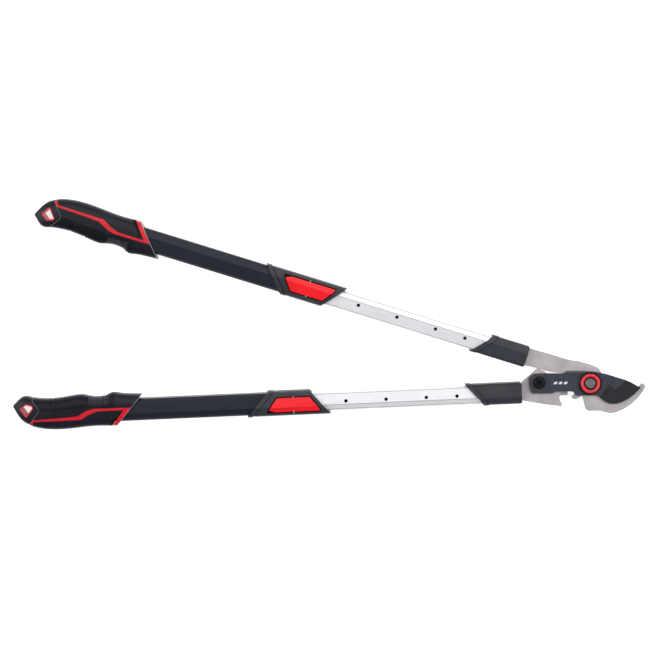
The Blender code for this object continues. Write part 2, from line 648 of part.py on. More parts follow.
def grip(handle, axis):
    lean = (FRONT_TOP[0] - FRONT_FOOT[0]) / (FRONT_TOP[1] - FRONT_FOOT[1])

    def front(v, behind=0.0):
        """A point of the slanted front edge, or of a line behind it."""
        return FRONT_FOOT[0] + (v - FRONT_FOOT[1]) * lean + behind, v

    (low, low_length), (high, high_length) = BAND
    band_zone = [front(low), front(high), front(high, high_length), front(low, low_length)]
    bore = handle.bar("grip_bore", [section(2.5 + GAP)], 690, OUTER_TUBE[1] + GAP)
    front_zone = handle.plan("grip_zone", [[front(-40), front(35), (930, 35), (930, -40)]], -25, 25)
    hang = handle.plan("hang_way", [rounded(HANG_HOLE)], -25, 25)

    cover = keep(grip_form(handle, "grip_cover"), front_zone)
    cut(cover, bore, hang)
    cut(cover, handle.plan("band_seat", [grown(band_zone, GAP)], -25, 25))
    cut(cover, handle.plan("pad_seat", [grown(PAD, GAP)], -25, 25))
    seat = handle.plan("stripe_seat", [grown(rounded(STRIPE), GAP)], 2, 25)
    cut(cover, cut(seat, grip_form(handle, "stripe_seat_core", STRIPE_DEPTH + GAP)))
    finish(cover, BLACK, axis)

    pad = keep(grip_form(handle, "grip_pad"), handle.plan("pad_zone", [PAD], -25, 25))
    finish(cut(pad, bore), SOFT_BLACK, axis)
    band = keep(grip_form(handle, "grip_band"), handle.plan("band_zone", [band_zone], -25, 25))
    finish(cut(band, bore), RED, axis)
    stripe_zone = handle.plan("stripe_zone", [rounded(STRIPE)], 2, 25)
    stripe = keep(grip_form(handle, "grip_stripe"), stripe_zone)
    cut(stripe, grip_form(handle, "stripe_core", STRIPE_DEPTH))
    cut(stripe, handle.plan("stripe_end", [grown(band_zone, GAP)], -25, 25))
    finish(stripe, RED, axis)
    ring_loops = [grown(rounded(HANG_HOLE), -GAP), grown(rounded(HANG_HOLE), -GAP - LINER)]
    finish(handle.plan("hang_liner", ring_loops, -15.2, 15.2), RED, axis)


def handle_pieces(sizes, fixed_axis):
    handle = Handle(sizes)
    name = handle.name
    x, y = to_plan(sizes, 0, 0)
    turn = math.radians(sizes["angle"])
    slide_axis = empty(f"{name}_slide_axis", x, y, MIDDLE, turn)
    x, y = to_plan(sizes, ROCKER[0], 0)
    button_axis = empty(f"{name}_button_axis", x, y, MIDDLE + ROCKER[1], turn)
    ferrule(handle, fixed_axis)
    inner_tube(handle, fixed_axis)
    outer_tube(handle, slide_axis)
    collar(handle, slide_axis)
    lock(handle, slide_axis, button_axis)
    grip(handle, slide_axis)


def main():
    frame = empty("hook_frame", *PIVOT)
    blade_axis = empty("blade_axis", *PIVOT)
    lever_axis = empty("lever_axis", *TANG)
    pawl_axis = empty("pawl_axis", *PAWL_PIN)
    hook_jaw(frame)
    ratchet_sector(frame)
    main_pivot(frame)
    cutting_blade(blade_axis)
    tang_pivot(blade_axis)
    lower_head(lever_axis)
    pawl_pieces(lever_axis, pawl_axis)
    handle_pieces(UPPER, frame)
    handle_pieces(LOWER, lever_axis)


main()
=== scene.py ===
"""The finished look of the telescopic ratchet bypass loppers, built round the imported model.

Sizes are in millimetres and become metres as each mesh is made. A handle's own axes are u, along it and away
from the jaws, v, across it and away from the other handle, and w, up from its middle plane. Both handles use
the same meshes, made once in those axes and mirrored for the upper handle.
"""

import json
import math

import bmesh
import bpy
from mathutils import Matrix, Vector

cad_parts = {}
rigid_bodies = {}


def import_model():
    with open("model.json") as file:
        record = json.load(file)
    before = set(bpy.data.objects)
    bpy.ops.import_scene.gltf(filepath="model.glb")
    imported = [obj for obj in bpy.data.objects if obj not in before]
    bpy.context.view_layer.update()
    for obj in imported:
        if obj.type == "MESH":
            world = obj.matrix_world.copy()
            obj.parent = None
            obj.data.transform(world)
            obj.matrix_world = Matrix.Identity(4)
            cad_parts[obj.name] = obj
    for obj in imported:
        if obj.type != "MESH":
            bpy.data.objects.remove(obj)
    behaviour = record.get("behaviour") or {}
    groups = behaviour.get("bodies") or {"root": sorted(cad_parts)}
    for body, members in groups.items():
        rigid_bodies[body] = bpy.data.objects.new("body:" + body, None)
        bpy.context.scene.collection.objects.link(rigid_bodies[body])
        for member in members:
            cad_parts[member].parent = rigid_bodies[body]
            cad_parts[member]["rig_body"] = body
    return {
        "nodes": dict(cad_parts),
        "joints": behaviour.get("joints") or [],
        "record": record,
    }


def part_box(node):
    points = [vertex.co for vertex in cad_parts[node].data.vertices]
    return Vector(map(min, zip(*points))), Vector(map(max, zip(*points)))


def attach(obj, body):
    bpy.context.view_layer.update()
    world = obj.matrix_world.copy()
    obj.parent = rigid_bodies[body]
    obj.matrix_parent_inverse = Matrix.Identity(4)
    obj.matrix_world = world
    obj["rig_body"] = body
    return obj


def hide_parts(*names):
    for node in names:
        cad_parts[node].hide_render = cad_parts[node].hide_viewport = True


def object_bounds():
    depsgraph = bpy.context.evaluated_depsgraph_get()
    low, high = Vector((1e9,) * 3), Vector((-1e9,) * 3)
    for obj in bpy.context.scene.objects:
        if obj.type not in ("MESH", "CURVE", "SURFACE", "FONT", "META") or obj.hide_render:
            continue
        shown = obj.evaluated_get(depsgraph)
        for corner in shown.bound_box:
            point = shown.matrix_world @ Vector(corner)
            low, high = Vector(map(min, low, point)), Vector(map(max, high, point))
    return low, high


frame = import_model()
CAD_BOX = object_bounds()
MM = 0.001
GAP = 0.3  # between pieces that touch
BORE = 4.3  # radius of the holes that take an 8 mm bolt
PIVOT = (0.0, 0.0)
ALONG = Matrix(((0, 0, 1, 0), (1, 0, 0, 0), (0, 1, 0, 0), (0, 0, 0, 1)))  # turns (y, z) outlines along x
ACROSS = Matrix.Rotation(math.radians(90), 4, "X") @ Matrix.Diagonal((1, 1, -1, 1))  # (x, z) ones, along y
JOINTS = {joint["name"]: joint for joint in frame["joints"]}
BODY_OF = {node: obj["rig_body"] for node, obj in frame["nodes"].items()}
SLOT_OF = {part["node"]: part["material_slot"] for part in frame["record"]["subparts"]}


# Materials.


def mapped(tree, value, start, end, low, high):
    """The value's range from start to end turned into low to high."""
    change = tree.nodes.new("ShaderNodeMapRange")
    for socket, number in (("From Min", start), ("From Max", end), ("To Min", low), ("To Max", high)):
        change.inputs[socket].default_value = number
    tree.links.new(value, change.inputs["Value"])
    return change.outputs["Result"]


class Nodes:
    """A material's node tree, with short calls for the nodes that the finishes share."""

    def __init__(self, name, **settings):
        self.material = bpy.data.materials.new(name)
        self.material.use_nodes = True
        self.tree = self.material.node_tree
        self.shader = self.tree.nodes["Principled BSDF"]
        for socket, value in settings.items():
            self.shader.inputs[socket.replace("_", " ")].default_value = value
        self.place = self.add("ShaderNodeTexCoord").outputs["Object"]

    def add(self, kind, **settings):
        node = self.tree.nodes.new(kind)
        for setting, value in settings.items():
            setattr(node, setting, value)
        return node

    def join(self, source, target):
        self.tree.links.new(source, target)

    def noise(self, scale, detail=3.0, stretch=None):
        """Noise with this many grains a metre. A stretch is three scales and a turn about Z."""
        texture = self.add("ShaderNodeTexNoise")
        texture.inputs["Scale"].default_value = scale
        texture.inputs["Detail"].default_value = detail
        where = self.place
        if stretch:
            turn = self.add("ShaderNodeMapping", vector_type="TEXTURE")
            turn.inputs["Scale"].default_value = stretch[:3]
            turn.inputs["Rotation"].default_value = (0, 0, stretch[3])
            self.join(where, turn.inputs["Vector"])
            where = turn.outputs["Vector"]
        self.join(where, texture.inputs["Vector"])
        return texture.outputs["Fac"]

    def spread(self, value, low, high, start=0.3, end=0.7):
        """Low to high, from a noise, whose values are mostly from start to end."""
        return mapped(self.tree, value, start, end, low, high)

    def colours(self, value, first, second):
        """The first colour where the value is 0, the second where it is 1."""
        mix = self.add("ShaderNodeMix", data_type="RGBA")
        mix.inputs["A"].default_value = (*first, 1)
        mix.inputs["B"].default_value = (*second, 1)
        self.join(value, mix.inputs["Factor"])
        return mix.outputs["Result"]

    def roughness(self, value, low, high):
        """A roughness that drifts with the value."""
        self.join(self.spread(value, low, high), self.shader.inputs["Roughness"])

    def bump(self, value, depth_mm):
        """A relief of this depth."""
        bump = self.add("ShaderNodeBump")
        bump.inputs["Distance"].default_value = depth_mm * MM
        self.join(value, bump.inputs["Height"])
        self.join(bump.outputs["Normal"], self.shader.inputs["Normal"])


def shaded(colour, factor):
    """The colour made darker or lighter."""
    return tuple(channel * factor for channel in colour)


def moulded(name, colour, rough, grain=1400, depth=0.03, change=0.12, **settings):
    """Moulded plastic or rubber: a fine spark-eroded grain, and gloss and colour that drift a little."""
    made = Nodes(name, **settings)
    drift = made.noise(38)
    tint = made.colours(made.spread(drift, 0, 1), shaded(colour, 1 - change), shaded(colour, 1 + change))
    made.join(tint, made.shader.inputs["Base Color"])
    made.roughness(drift, rough - 0.04, rough + 0.04)
    made.bump(made.noise(grain, 2), depth)
    return made.material


def metal(
    name, colour, rough, grain=900, depth=0.01, change=0.08, stretch=None, spread=0.06, speckle=0.1,
    **settings,
):  # fmt: skip
    """A metal finish: blasted or, with a stretch, drawn or ground along one direction."""
    made = Nodes(name, **settings)
    grains = made.noise(grain, 4, stretch)
    clouds = made.noise(45)
    tint = made.colours(made.spread(clouds, 0, 1), shaded(colour, 1 - change), shaded(colour, 1 + change))
    speckled = made.colours(made.spread(grains, 0, 0.5), (0, 0, 0), (1, 1, 1))
    worn = made.add("ShaderNodeMix", data_type="RGBA", blend_type="SOFT_LIGHT")
    worn.inputs["Factor"].default_value = speckle
    made.join(tint, worn.inputs["A"])
    made.join(speckled, worn.inputs["B"])
    made.join(worn.outputs["Result"], made.shader.inputs["Base Color"])
    made.roughness(grains, rough - spread, rough + spread)
    made.bump(grains, depth)
    return made.material


def drawn(side):
    """Grains drawn out along a handle, and turned to the direction of its slide."""
    axis = JOINTS[f"{side}_slide"]["axis"]
    return (14, 1, 1, math.atan2(axis[1], axis[0]))


GRIP_BLACK = moulded("grip_black", (0.0085, 0.0095, 0.0145), 0.32, depth=0.02, IOR=1.27)
# A lighter grey for the thin line in the score at each grip's end: a painted highlight.
GRIP_LINE_HIGHLIGHT = moulded("grip_line", (0.1, 0.11, 0.13), 0.35, depth=0.01)
# Light grey for the thin strip along each grip's front edge: a painted highlight where that edge catches the
# light.
GRIP_RIM_HIGHLIGHT = moulded("grip_rim_painted_highlight", (0.2, 0.2, 0.22), 0.4, depth=0.01)
GRIP_SOFT = moulded("grip_soft", (0.0055, 0.0065, 0.0105), 0.34, 1000, 0.04, IOR=1.22)
CHARCOAL = moulded("charcoal_plastic", (0.03, 0.032, 0.041), 0.4, depth=0.03, IOR=1.32)
# Near black for grooves and recesses: painted shade where the light falls off inside them.
RECESS_SHADE = moulded("recess_painted_shade", (0.003, 0.003, 0.004), 0.6, Specular_IOR_Level=0.1)
RED = moulded("red_plastic", (0.76, 0.008, 0.014), 0.36, depth=0.012, change=0.06, Specular_IOR_Level=0.3)
TRIM_RED = moulded("trim_red", (0.53, 0.007, 0.019), 0.34, depth=0.012, change=0.1, Specular_IOR_Level=0.3)
TUBE_BLACK = metal("tube_black", (0.0125, 0.015, 0.023), 0.34, 1600, 0.006, IOR=1.3)
TUBE_SILVER = {
    side: metal(
        f"tube_silver_{side}", (0.8, 0.8, 0.83), 0.3, 700, 0.002, 0.02, drawn(side), 0.03,
        Metallic=0.3,
    )
    for side in ("lower", "upper")
}  # fmt: skip
# A darker red for the faces of the groove along the thumb's step: painted shade.
RED_LINE_SHADE = moulded("red_line_painted_shade", (0.4, 0.005, 0.009), 0.5, Specular_IOR_Level=0.2)
RING_RED = moulded("ring_red", (0.64, 0.024, 0.036), 0.42, depth=0.02)
# Lighter than the pad, so that the dots show as painted highlights in the finger's hollow.
GRIP_DOT_HIGHLIGHT = moulded("grip_dot_painted_highlight", (0.035, 0.039, 0.055), 0.3)
# A dark grey for the thin grooves along the bright tube's creases: painted shade along the creases.
TUBE_CREASE_SHADE = metal("tube_crease_painted_shade", (0.13, 0.13, 0.14), 0.5)
MARK_GREY = moulded("mark_grey", (0.6, 0.6, 0.62), 0.5)
# Near black for the bright tube's inside and the walls of its lock holes: painted shade, where little light
# reaches.
TUBE_INSIDE_SHADE = metal("tube_inside_painted_shade", (0.012, 0.012, 0.013), 0.6, Metallic=0.2)
JAW_STEEL = metal("jaw_steel", (0.42, 0.385, 0.405), 0.46, 1500, 0.03, 0.14, Metallic=0.3)
# A darker steel for the plates' rim faces: painted shade along the edges.
JAW_EDGE_SHADE = metal("jaw_edge_painted_shade", (0.14, 0.13, 0.135), 0.45, 1500, 0.02, 0.1, Metallic=0.2)
BLADE = metal("blade_coating", (0.055, 0.06, 0.082), 0.42, 560, 0.2, 0.12, speckle=0.9, IOR=1.35)
BLADE_EDGE = metal("blade_edge", (0.06, 0.065, 0.085), 0.35, 1300, 0.04, 0.2, Metallic=0.2)
GROUND_SCRATCHES = (9, 1, 1, 0.6)  # drawn out and turned, as a grinding wheel leaves them
GROUND = metal(
    "blade_ground", (0.013, 0.013, 0.018), 0.42, 900, 0.01, 0.12, GROUND_SCRATCHES, Specular_IOR_Level=0.3
)
ZINC = metal("zinc_steel", (0.24, 0.24, 0.26), 0.38, 1200, 0.01, Metallic=0.9)
SPRING = metal("spring_steel", (0.26, 0.26, 0.27), 0.3, 900, 0.01, Metallic=1.0)
BLACK_STEEL = metal("black_steel", (0.0045, 0.0045, 0.006), 0.28, 900, 0.01, IOR=1.32)
FINISHES = {
    "grip_black": GRIP_BLACK, "grip_soft": GRIP_SOFT, "charcoal_plastic": CHARCOAL, "red_plastic": RED,
    "tube_black": TUBE_BLACK, "tube_silver": TUBE_SILVER["lower"], "jaw_steel": JAW_STEEL,
    "blade_coating": BLADE, "zinc_steel": ZINC, "spring_steel": SPRING, "black_steel": BLACK_STEEL,
}  # fmt: skip


# Outlines.


def path(*places):
    """The places as vectors."""
    return [Vector(place) for place in places]


def rounded(corners, step=math.radians(7)):
    """The points of an outline whose corners are (x, y, radius)."""
    points = []
    for i, (x, y, radius) in enumerate(corners):
        here = Vector((x, y))
        back = Vector(corners[i - 1][:2]) - here
        ahead = Vector(corners[(i + 1) % len(corners)][:2]) - here
        half = back.angle(ahead) / 2
        if radius == 0 or half > math.radians(89.5):
            points.append(here)
            continue
        reach = min(radius / math.tan(half), 0.48 * back.length, 0.48 * ahead.length)
        radius = reach * math.tan(half)
        towards = (back.normalized() + ahead.normalized()).normalized()
        centre = here + towards * radius / math.sin(half)
        start = here + back.normalized() * reach - centre
        turn = start.angle_signed(here + ahead.normalized() * reach - centre)
        steps = max(1, math.ceil(abs(turn) / step))
        points += [centre + Matrix.Rotation(-turn * k / steps, 2) @ start for k in range(steps + 1)]
    return points


def circle(x, y, radius, sides):
    turns = [math.tau * i / sides for i in range(sides)]
    return [Vector((x + radius * math.cos(t), y + radius * math.sin(t))) for t in turns]


def grown(points, distance):
    """A closed outline with every side moved outward."""
    area = sum(a.cross(b) for a, b in zip(points, points[1:] + points[:1]))
    result = []
    for i, here in enumerate(points):
        before = here - points[i - 1]
        after = points[(i + 1) % len(points)] - here
        sides = [Vector((e.y, -e.x)).normalized() * math.copysign(1, area) for e in (before, after)]
        result.append(here + (sides[0] + sides[1]) * distance / (1 + sides[0].dot(sides[1])))
    return result


def line(points, width):
    """The outline of a line of this width drawn through the points."""
    points = path(*points)
    steps = [(b - a).normalized() for a, b in zip(points, points[1:])]
    sides = []
    for i, here in enumerate(points):
        ends = steps[max(i - 1, 0)], steps[min(i, len(steps) - 1)]
        across = Vector((-ends[0].y - ends[1].y, ends[0].x + ends[1].x)).normalized()
        sides.append((here + across * width / 2, here - across * width / 2))
    return [a for a, _ in sides] + [b for _, b in reversed(sides)]


def curved(start, leave, end, arrive, t):
    """The smooth curve between two places or numbers with these slopes, at t from 0 to 1."""
    return (
        start * (2 * t**3 - 3 * t**2 + 1) + leave * (t**3 - 2 * t**2 + t)
        + end * (3 * t**2 - 2 * t**3) + arrive * (t**3 - t**2)
    )  # fmt: skip


def refined(points, corner=28.0, step=5.0):
    """A closed outline of straight pieces made smooth, but for its corners sharper than an angle."""
    count = len(points)
    chords = [points[(i + 1) % count] - points[i] for i in range(count)]
    turns = [abs(math.degrees(chords[i - 1].angle_signed(chords[i]))) for i in range(count)]
    smooth = [turn < corner for turn in turns]
    tangents = [(points[(i + 1) % count] - points[i - 1]).normalized() for i in range(count)]
    result = []
    for i, start in enumerate(points):
        j = (i + 1) % count
        chord = chords[i]
        bend = (turns[i] if smooth[i] else 0) + (turns[j] if smooth[j] else 0)
        pieces = max(1, math.ceil(bend / 2 / step))
        leave = tangents[i] * chord.length if smooth[i] else chord
        arrive = tangents[j] * chord.length if smooth[j] else chord
        result += [curved(start, leave, points[j], arrive, k / pieces) for k in range(pieces)]
    return result


# Building blocks.


def linked(name, mesh):
    made = bpy.data.objects.new(name, mesh)
    bpy.context.scene.collection.objects.link(made)
    return made


def closed(name, work):
    """An object of the bmesh, welded and facing out."""
    bmesh.ops.remove_doubles(work, verts=work.verts, dist=1e-6)
    bmesh.ops.recalc_face_normals(work, faces=work.faces)
    mesh = bpy.data.meshes.new(name)
    work.to_mesh(mesh)
    work.free()
    return linked(name, mesh)


def prism(name, loops, low, high, place=None):
    """An outline, with any further loops as holes or as other outlines, between two heights."""
    curve = bpy.data.curves.new(name, "CURVE")
    curve.dimensions = "2D"
    curve.fill_mode = "BOTH"
    curve.extrude = (high - low) / 2 * MM
    for loop in loops:
        spline = curve.splines.new("POLY")
        spline.points.add(len(loop) - 1)
        for point, (x, y) in zip(spline.points, loop):
            point.co = (x * MM, y * MM, 0, 1)
        spline.use_cyclic_u = True
    guide = linked(name, curve)
    mesh = bpy.data.meshes.new_from_object(guide.evaluated_get(bpy.context.evaluated_depsgraph_get()))
    bpy.data.objects.remove(guide)
    mesh.transform(Matrix.Translation((0, 0, (low + high) / 2 * MM)))
    if place:
        mesh.transform(place)
    work = bmesh.new()
    work.from_mesh(mesh)
    bmesh.ops.remove_doubles(work, verts=work.verts, dist=1e-6)
    bmesh.ops.dissolve_limit(work, angle_limit=0.002, verts=work.verts, edges=work.edges)
    return closed(name, work)


def turned(name, profile, x, y, steps=96):
    """A shape turned round an upright axis. The profile's corners are (radius, height, rounding)."""
    work = bmesh.new()
    ring = [work.verts.new((r * MM, 0, z * MM)) for r, z in rounded(profile, math.radians(15))]
    edges = [work.edges.new((a, b)) for a, b in zip(ring, ring[1:] + ring[:1])]
    bmesh.ops.spin(
        work, geom=ring + edges, axis=(0, 0, 1), cent=(0, 0, 0), angle=math.tau, steps=steps, use_merge=True
    )
    bmesh.ops.dissolve_degenerate(work, dist=1e-7, edges=work.edges)
    bmesh.ops.translate(work, verts=work.verts, vec=(x * MM, y * MM, 0))
    return closed(name, work)


def combined(obj, operation, *others):
    """Applies one Boolean after another and removes the other shapes."""
    for other in others:
        step = obj.modifiers.new(other.name, "BOOLEAN")
        step.operation = operation
        step.object = other
    mesh = bpy.data.meshes.new_from_object(obj.evaluated_get(bpy.context.evaluated_depsgraph_get()))
    obj.modifiers.clear()
    obj.data = mesh
    for other in others:
        bpy.data.objects.remove(other)
    return obj


def cut(obj, *others):
    return combined(obj, "DIFFERENCE", *others)


def join(obj, *others):
    return combined(obj, "UNION", *others)


def keep(obj, other):
    return combined(obj, "INTERSECT", other)


def again(obj, name):
    """A second object with its own copy of the mesh."""
    return linked(name, obj.data.copy())


def soften(obj, width, segments=3, angle=35, smooth=40):
    """Rounds every edge that turns by more than the angle, and keeps the flat faces flat to the light."""
    obj.data.shade_smooth()
    obj.data.set_sharp_from_angle(angle=math.radians(smooth))
    if width:
        edges = obj.modifiers.new("edges", "BEVEL")
        edges.width = width * MM
        edges.segments = segments
        edges.limit_method = "ANGLE"
        edges.angle_limit = math.radians(angle)
        edges.harden_normals = True
    normals = obj.modifiers.new("normals", "WEIGHTED_NORMAL")
    normals.keep_sharp = True
    return obj


def piece(obj, *nodes, finish=None, body=None, slot=None):
    """The object rides on its CAD nodes' body and stands for them, and if it has no material yet it takes the
    finish of their material slot. A piece with no node of its own is given a body, and a slot for that
    finish."""
    slot = slot or SLOT_OF[nodes[0]]
    if not obj.data.materials:
        obj.data.materials.append(finish or FINISHES[slot])
    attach(obj, body or BODY_OF[nodes[0]])
    if nodes:
        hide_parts(*nodes)
    return obj


def paint(obj, chosen, *finishes):
    """Gives the object these finishes, and each face the one that chosen(face centre, normal) numbers."""
    obj.data.materials.clear()
    for finish in finishes:
        obj.data.materials.append(finish)
    for face in obj.data.polygons:
        face.material_index = chosen(face.center / MM, face.normal)
    return obj


def cad_shape(node):
    """The CAD node's shape as a bmesh, with its flat faces whole again."""
    work = bmesh.new()
    work.from_mesh(frame["nodes"][node].data)
    bmesh.ops.remove_doubles(work, verts=work.verts, dist=0.002 * MM)
    bmesh.ops.dissolve_limit(work, angle_limit=math.radians(0.6), verts=work.verts, edges=work.edges)
    return work


def heights(node):
    """A CAD node's lowest and highest point."""
    low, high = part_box(node)
    return low.z / MM, high.z / MM


# The jaws' plates. Their outlines come from the CAD plates, with each curve's straight pieces made smooth.


def plate_loops(node):
    """The outer outline and the holes of a CAD plate, in plan, from its side walls."""
    work = cad_shape(node)
    middle = sum(heights(node)) / 2 * MM
    following = {}
    for face in work.faces:
        levels = [v.co.z for v in face.verts]
        if abs(face.normal.z) > 0.1 or min(levels) > middle or max(levels) < middle:
            continue
        for loop in face.loops:
            a, b = loop.vert, loop.link_loop_next.vert
            if a.co.z > middle and b.co.z > middle:
                following[a] = b
    loops = []
    while following:
        start, here = following.popitem()
        loop = [start]
        while here is not start:
            loop.append(here)
            here = following.pop(here)
        loops.append([v.co.xy / MM for v in loop])
    work.free()
    loops.sort(key=lambda loop: -sum((p - loop[0]).length for p in loop) / len(loop))
    return loops


def plate(node, edge):
    """A plate with fine curves, and its rims rounded off by this width."""
    loops = [refined(loop) for loop in plate_loops(node)]
    made = prism(f"{node}_fine", loops, *heights(node))
    work = bmesh.new()
    work.from_mesh(made.data)
    rims = [e for e in work.edges if len(e.link_faces) == 2 and e.calc_face_angle() > math.radians(60)]
    bmesh.ops.bevel(
        work, geom=rims, offset=edge * MM, segments=2, profile=0.5, affect="EDGES", clamp_overlap=True
    )
    work.to_mesh(made.data)
    work.free()
    return made


def jaw_plate(node, edge):
    """A blasted plate whose rim faces are painted darker than its flat faces, as shade along its edges."""
    made = plate(node, edge)
    # Faces that are not flat to the top or bottom are painted darker as shade.
    paint(made, lambda centre, normal: int(abs(normal.z) < 0.98), JAW_STEEL, JAW_EDGE_SHADE)
    return piece(soften(made, 0), node)


PLATES = {"hook_jaw": 1.0, "lower_head": 1.0, "ratchet_sector": 0.4, "ratchet_pawl": 0.4}  # rim widths
BLADE_RIM = 0.7
GROUND_DEPTH = 0.25
GROUND_ZONE = (
    (62, 9), (57, 4.2), (40, -11), (30.5, -2), (25.5, -9), (13, -24), (13, -45), (96, -45), (96, 9),
)  # fmt: skip
BEVEL_ENDS = (-38.5, 17.5)  # x along the straight of the spine
BEVEL_FOOT, BEVEL_EDGE = 16.9, 21.5  # y where it leaves the face, and beyond the spine
BEVEL_DROP = 2.6
MARK_BAR = ((0, -1.6), (5, -1.6), (7, 2.2), (2, 2.2))  # one of the three slanted bars of a plain mark
MARK_PLACES = (-58, -50, -42)


def cutting_blade():
    """The coated blade: a ground zone with a zigzag border at its point, and a lit bevel along its spine."""
    made = plate("cutting_blade", BLADE_RIM)
    top = heights("cutting_blade")[1]
    floor = top - GROUND_DEPTH
    bevel = path((BEVEL_FOOT, top + 0.15), (BEVEL_EDGE, top + 0.15), (BEVEL_EDGE, top - BEVEL_DROP))
    cut(made, prism("spine_bevel", [bevel], *BEVEL_ENDS, ALONG))
    cut(made, prism("ground_zone", [path(*GROUND_ZONE)], floor, top + 1))

    def zone_of(centre, normal):
        if normal.z > 0.9 and abs(centre.z - floor) < 0.02:
            return 1
        return 2 if abs(normal.z) < 0.98 and centre.x < 60 else 0

    paint(made, zone_of, BLADE, GROUND, BLADE_EDGE)
    piece(soften(made, 0), "cutting_blade")
    bars = [[Vector((x + dx, y)) for dx, y in MARK_BAR] for x in MARK_PLACES]
    mark = prism("blade_mark", bars, top - 0.2, top + 0.06)
    piece(mark, finish=MARK_GREY, body=BODY_OF["cutting_blade"], slot=SLOT_OF["cutting_blade"])


NUT_CORNER, SOCKET_CORNER = 7.3, 3.6  # the radii of hexagons, to their corners


def round_size(node):
    """A round CAD node's lowest and highest point, and its radius."""
    low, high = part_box(node)
    return low.z / MM, high.z / MM, (high.x - low.x) / 2 / MM


def pivot_trim():
    """The wide washer, and the red ring that stands on it."""
    low, high, radius = round_size("pivot_washer")
    washer = turned("pivot_washer_fine", [
        (BORE, high, 0), (radius - 1.4, high, 0.4), (radius, high - 1.0, 0.8), (radius, low, 0.3),
        (BORE, low, 0),
    ], *PIVOT)  # fmt: skip
    piece(soften(washer, 0), "pivot_washer")
    low, high, radius = round_size("pivot_ring")
    ring = turned("pivot_ring_fine", [
        (10.2, high - 1.7, 0.4), (10.8, high - 1.2, 0.5), (12.4, high - 0.1, 0.8), (radius - 1.6, high, 0.8),
        (radius, high - 1.2, 0.8), (radius, low, 0.3), (10.2, low, 0.3),
    ], *PIVOT)  # fmt: skip
    piece(soften(ring, 0), "pivot_ring", finish=RING_RED)


def pivot_nut():
    """A flange, and a hexagon whose corners are turned off."""
    low, high, _ = round_size("pivot_nut")
    nut = turned("pivot_nut_fine", [
        (BORE, low + 2.4, 0), (6.6, low + 2.4, 0.3), (7.9, low + 1.4, 0.5), (7.9, low, 0.3), (BORE, low, 0),
    ], *PIVOT)  # fmt: skip
    crown = turned("crown", [
        (BORE, high, 0.3), (6.6, high, 0.3), (7.4, high - 0.8, 0), (7.4, low, 0), (BORE, low, 0),
    ], *PIVOT)  # fmt: skip
    hexagon = prism("hexagon", [circle(*PIVOT, NUT_CORNER, 6)], low - 1, high + 1)
    piece(soften(join(nut, keep(crown, hexagon)), 0.15, 2), "pivot_nut")


def tang_bolt(place):
    """A black button-head bolt with a hexagon socket, over its washer."""
    low, high, radius = round_size("tang_washer")
    washer = turned("tang_washer_fine", [
        (BORE, high, 0), (radius, high, 0.6), (radius, low, 0.2), (BORE, low, 0),
    ], *place)  # fmt: skip
    piece(soften(washer, 0), "tang_washer")
    seat = high + GAP
    low, high, radius = round_size("tang_bolt")
    bolt = turned("tang_bolt_fine", [
        (0.01, high - 1.6, 0), (5.0, high - 1.6, 0.3), (5.6, high - 0.2, 0.5), (6.5, high - 0.2, 1.2),
        (radius, high - 2.2, 0.8), (radius, seat, 0.2), (4.0, seat, 0), (4.0, low, 0.4), (0.01, low, 0),
    ], *place)  # fmt: skip
    socket = prism("tang_socket", [circle(*place, SOCKET_CORNER, 6)], high - 5, high)
    piece(soften(cut(bolt, socket), 0), "tang_bolt")


def plain_disc(node, place, edge):
    """A washer or a bush, with its rims rounded."""
    low, high, radius = round_size(node)
    disc = turned(f"{node}_fine", [
        (BORE, high, 0), (radius, high, edge), (radius, low, edge), (BORE, low, 0),
    ], *place)  # fmt: skip
    piece(soften(disc, 0), node)


def pivot_pieces():
    """The pivots' round pieces, turned finely on their axes."""
    tang = (sum(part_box("tang_bolt"), Vector()) / 2 / MM).xy
    pivot_trim()
    pivot_nut()
    tang_bolt(tang)
    plain_disc("pivot_bolt_washer", PIVOT, 0.5)
    plain_disc("tang_nut_washer", tang, 0.3)
    plain_disc("pivot_bush", PIVOT, 0.3)


# Handles. Each mesh is made once in a handle's own axes, and turned and mirrored into both places.

SIDE_CORNERS = ((-14.6, 7.2), (-12.4, 9.8), (5.0, 11.2), (12.6, 8.6), (14.6, 6.6))  # (v, w)
COLLAR_CORNERS = ((-19.2, 8.5), (-16.6, 13.4), (5.0, 16.0), (16.8, 13.2), (19.2, 9.5))
INNER_ENDS, INNER_WALL = (112, 498), 1.4
OUTER_ENDS, OUTER_INSIDE, OUTER_OUTSIDE = (447, 868), 0.9, 2.5  # its faces, out from the inner tube's
REACH = 25  # more than half of a handle's height or width
FERRULE_SPAN, COLLAR_SPAN = (90, 220), (390, 560)  # u before and past each of them
HOLES = (211.0, 259.5, 323.0, 386.5, 450.0)
HOLE = 2.75
PEG_WAY, PEG_SEAT = 2.4, 2.1
ROCKER, ROCKER_PIN = (469.5, 14.8), 1.55  # (u, w), and the radius of its hole
PIN_ENDS = (-15, 17.5)
BUTTON = ((425.5, 13.2, 2), (512.5, 13.2, 2), (495.5, -10, 2.2), (443.2, -10, 2.2))
BUTTON_GROOVE = 1.4
BUTTON_INSET = 0.5  # how much the finished button is smaller, so that a dark line shows all round it
BUTTON_FOOT = 13.2
BUTTON_PROUD = 2.3  # above the collar's section
BUTTON_RELIEF = ((ROCKER[0] + 1.5, 13.2), (ROCKER[0] + 1.5, 12), (520, 12), (520, 17.6))
PRESS = 0.8  # depth of the thumb's place on the button
THUMB_LINE = ((415, -0.7), (459.5, 0.2), (466, 7.2), (520, 7.2))
THUMB_FAR = ((520, 24), (415, 24))
TUB_WALL, TUB_FOOT, TUB_FLOOR, TUB_PROUD = 2.0, 11.9, 12.8, 0.8
FERRULE_TAIL = ((164.4, 24), (168, 18.5), (176.5, 5.6), (179.5, 3.4), (199, -19), (203.4, -24))
